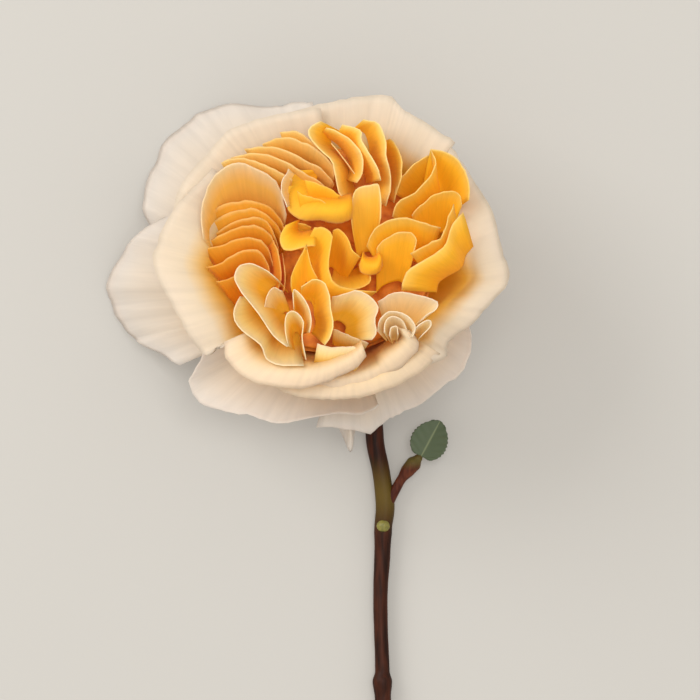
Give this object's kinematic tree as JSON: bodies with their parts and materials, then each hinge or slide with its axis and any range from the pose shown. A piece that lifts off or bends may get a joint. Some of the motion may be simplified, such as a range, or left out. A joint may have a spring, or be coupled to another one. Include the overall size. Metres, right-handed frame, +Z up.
{
  "type": "cut garden rose",
  "caption": "Cut garden rose with one full, cupped and quartered bloom, a bare stem and a small leaf on a side shoot, lying on a table.",
  "frame": {"origin": "centre of the bounding box in plan, on the table the rose lies on", "axes": "+Z up from the table, out of the open face of the bloom; -Y along the stem to its cut end; +X to the right of the bloom seen from above with the stem towards the viewer"},
  "size_m": [0.102, 0.1758, 0.062],
  "materials": {
    "outer_petal": "matte, soft, slightly translucent",
    "lip_petal": "matte, soft, slightly translucent",
    "left_petal": "matte, soft, slightly translucent",
    "fan_petal": "matte, soft, slightly translucent",
    "wing_petal": "matte, soft, slightly translucent",
    "front_petal": "matte, soft, slightly translucent",
    "rosette_petal": "matte, soft, slightly translucent",
    "heart_petal": "matte, soft, slightly translucent",
    "pistils": "matte, soft, slightly translucent",
    "hip": "matte, smooth bark",
    "sepal": "matte, soft, slightly translucent",
    "stem": "matte, smooth bark",
    "shoot": "matte, smooth bark",
    "bud": "matte, smooth bark",
    "leaf": "matte, soft, slightly translucent"
  },
  "bodies": {
    "root": {"hip": "hip", "stem": "stem", "side_shoot": "shoot", "leaf": "leaf", "stem_bud": "bud", "sepal_1": "sepal", "sepal_2": "sepal", "sepal_3": "sepal", "sepal_4": "sepal", "sepal_5": "sepal", "pistils": "pistils", "guard_left": "outer_petal", "guard_top_left": "outer_petal", "guard_right": "outer_petal", "guard_bottom_right": "outer_petal", "guard_bottom": "outer_petal", "collar_top": "outer_petal", "collar_top_left": "outer_petal", "collar_left": "outer_petal", "collar_right": "outer_petal", "lip_outer": "lip_petal", "lip_middle": "lip_petal", "lip_inner": "lip_petal", "left_wrap": "left_petal", "left_arch_1": "left_petal", "left_arch_2": "left_petal", "left_arch_3": "left_petal", "left_arch_4": "left_petal", "left_arch_6": "left_petal", "fan_2": "fan_petal", "fan_3": "fan_petal", "fan_4": "fan_petal", "fan_5": "fan_petal", "fold_6": "fan_petal", "fold_4": "fan_petal", "fold_3": "fan_petal", "fold_2": "fan_petal", "fold_1": "fan_petal", "fold_5": "fan_petal", "wing_1": "wing_petal", "wing_4": "wing_petal", "wing_3": "wing_petal", "wing_5": "wing_petal", "wing_6": "wing_petal", "wing_8": "wing_petal", "wing_9": "wing_petal", "tongue_outer": "front_petal", "tongue_inner": "front_petal", "front_fold_1": "front_petal", "front_fold_2": "front_petal", "front_yellow": "front_petal", "front_shell": "front_petal", "rosette_1": "rosette_petal", "rosette_2": "rosette_petal", "heart_hood": "heart_petal", "heart_beak": "heart_petal", "heart_blade_1": "heart_petal", "heart_ring": "heart_petal", "petal_bases": "heart_petal", "heart_floor": "heart_petal"}
  },
  "joints": []
}
